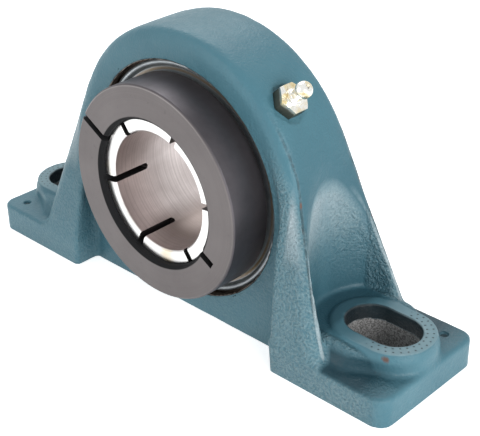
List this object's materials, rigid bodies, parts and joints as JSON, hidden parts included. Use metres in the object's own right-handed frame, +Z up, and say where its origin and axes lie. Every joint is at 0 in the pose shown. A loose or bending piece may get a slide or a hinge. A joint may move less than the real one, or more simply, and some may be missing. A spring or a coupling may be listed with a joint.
{
  "type": "pillow block bearing",
  "caption": "Cast pillow block housing on two slotted feet with a self-aligning ball bearing insert, split clamp collar over a slotted inner ring, and a grease fitting.",
  "frame": {"origin": "on the base face, straight below the shaft centre", "axes": "+Z up, +Y along the shaft from the clamp collar towards the rear, +X along the base towards the foot below the grease fitting"},
  "size_m": [0.223, 0.0618, 0.1196],
  "materials": {
    "housing_paint": "semi-gloss paint over rough cast iron",
    "dark_steel": "dark, lightly oiled",
    "ground_steel": "ground",
    "bearing_steel": "polished",
    "cage_steel": "satin",
    "seal_rubber": "matte",
    "flinger_steel": "bright",
    "black_oxide_steel": "black oxide, fine turned",
    "zinc_plate": "yellow tinted zinc plate"
  },
  "bodies": {
    "housing": {"housing": "housing_paint", "grease_fitting": "zinc_plate", "fitting_spring": "bearing_steel"},
    "fitting_check_ball": {"fitting_check_ball": "bearing_steel"},
    "seat_pin": {"anti_rotation_pin": "bearing_steel"},
    "outer_ring": {"outer_ring": "dark_steel", "front_seal_case": "cage_steel", "rear_seal_case": "cage_steel", "front_seal_lip": "seal_rubber", "rear_seal_lip": "seal_rubber"},
    "inner_ring": {"inner_ring": "ground_steel", "clamp_collar": "black_oxide_steel", "collar_screw": "black_oxide_steel", "front_flinger": "flinger_steel", "rear_flinger": "flinger_steel"},
    "cage": {"cage_front": "cage_steel", "cage_rear": "cage_steel", "cage_rivets": "bearing_steel"},
    "ball_01": {"ball_01": "bearing_steel"},
    "ball_02": {"ball_02": "bearing_steel"},
    "ball_03": {"ball_03": "bearing_steel"},
    "ball_04": {"ball_04": "bearing_steel"},
    "ball_05": {"ball_05": "bearing_steel"},
    "ball_06": {"ball_06": "bearing_steel"},
    "ball_07": {"ball_07": "bearing_steel"},
    "ball_08": {"ball_08": "bearing_steel"},
    "ball_09": {"ball_09": "bearing_steel"},
    "ball_10": {"ball_10": "bearing_steel"}
  },
  "joints": [
    {"name": "insert_tilt", "type": "hinge", "parent": "housing", "child": "seat_pin", "pos_m": [0, 0, 0.0572], "axis": [1, 0, 0], "range_deg": [-2, 2]},
    {"name": "insert_swivel", "type": "hinge", "parent": "seat_pin", "child": "outer_ring", "pos_m": [0, 0, 0.0572], "axis": [0, 0, 1], "range_deg": [-2, 2]},
    {"name": "shaft_spin", "type": "hinge", "parent": "outer_ring", "child": "inner_ring", "pos_m": [0, 0, 0.0572], "axis": [0, 1, 0], "continuous": true},
    {"name": "cage_orbit", "type": "hinge", "parent": "outer_ring", "child": "cage", "pos_m": [0, 0, 0.0572], "axis": [0, 1, 0], "continuous": true},
    {"name": "ball_01_spin", "type": "hinge", "parent": "cage", "child": "ball_01", "pos_m": [0, 0, 0.09595], "axis": [0, 1, 0], "continuous": true},
    {"name": "ball_02_spin", "type": "hinge", "parent": "cage", "child": "ball_02", "pos_m": [-0.02278, 0, 0.08855], "axis": [0, 1, 0], "continuous": true},
    {"name": "ball_03_spin", "type": "hinge", "parent": "cage", "child": "ball_03", "pos_m": [-0.03685, 0, 0.06917], "axis": [0, 1, 0], "continuous": true},
    {"name": "ball_04_spin", "type": "hinge", "parent": "cage", "child": "ball_04", "pos_m": [-0.03685, 0, 0.04523], "axis": [0, 1, 0], "continuous": true},
    {"name": "ball_05_spin", "type": "hinge", "parent": "cage", "child": "ball_05", "pos_m": [-0.02278, 0, 0.02585], "axis": [0, 1, 0], "continuous": true},
    {"name": "ball_06_spin", "type": "hinge", "parent": "cage", "child": "ball_06", "pos_m": [0, 0, 0.01845], "axis": [0, 1, 0], "continuous": true},
    {"name": "ball_07_spin", "type": "hinge", "parent": "cage", "child": "ball_07", "pos_m": [0.02278, 0, 0.02585], "axis": [0, 1, 0], "continuous": true},
    {"name": "ball_08_spin", "type": "hinge", "parent": "cage", "child": "ball_08", "pos_m": [0.03685, 0, 0.04523], "axis": [0, 1, 0], "continuous": true},
    {"name": "ball_09_spin", "type": "hinge", "parent": "cage", "child": "ball_09", "pos_m": [0.03685, 0, 0.06917], "axis": [0, 1, 0], "continuous": true},
    {"name": "ball_10_spin", "type": "hinge", "parent": "cage", "child": "ball_10", "pos_m": [0.02278, 0, 0.08855], "axis": [0, 1, 0], "continuous": true},
    {"name": "check_ball_slide", "type": "slide", "parent": "housing", "child": "fitting_check_ball", "axis": [0.7314, 0, 0.682], "range_m": [-0.0006, 0], "stiffness_N_per_m": 10, "springref_m": 0.0003}
  ],
  "couplings": [
    {"joint": "cage_orbit", "follows": "shaft_spin", "ratio": 0.40782},
    {"joint": "ball_01_spin", "follows": "shaft_spin", "ratio": -2.6199},
    {"joint": "ball_02_spin", "follows": "shaft_spin", "ratio": -2.6199},
    {"joint": "ball_03_spin", "follows": "shaft_spin", "ratio": -2.6199},
    {"joint": "ball_04_spin", "follows": "shaft_spin", "ratio": -2.6199},
    {"joint": "ball_05_spin", "follows": "shaft_spin", "ratio": -2.6199},
    {"joint": "ball_06_spin", "follows": "shaft_spin", "ratio": -2.6199},
    {"joint": "ball_07_spin", "follows": "shaft_spin", "ratio": -2.6199},
    {"joint": "ball_08_spin", "follows": "shaft_spin", "ratio": -2.6199},
    {"joint": "ball_09_spin", "follows": "shaft_spin", "ratio": -2.6199},
    {"joint": "ball_10_spin", "follows": "shaft_spin", "ratio": -2.6199}
  ]
}
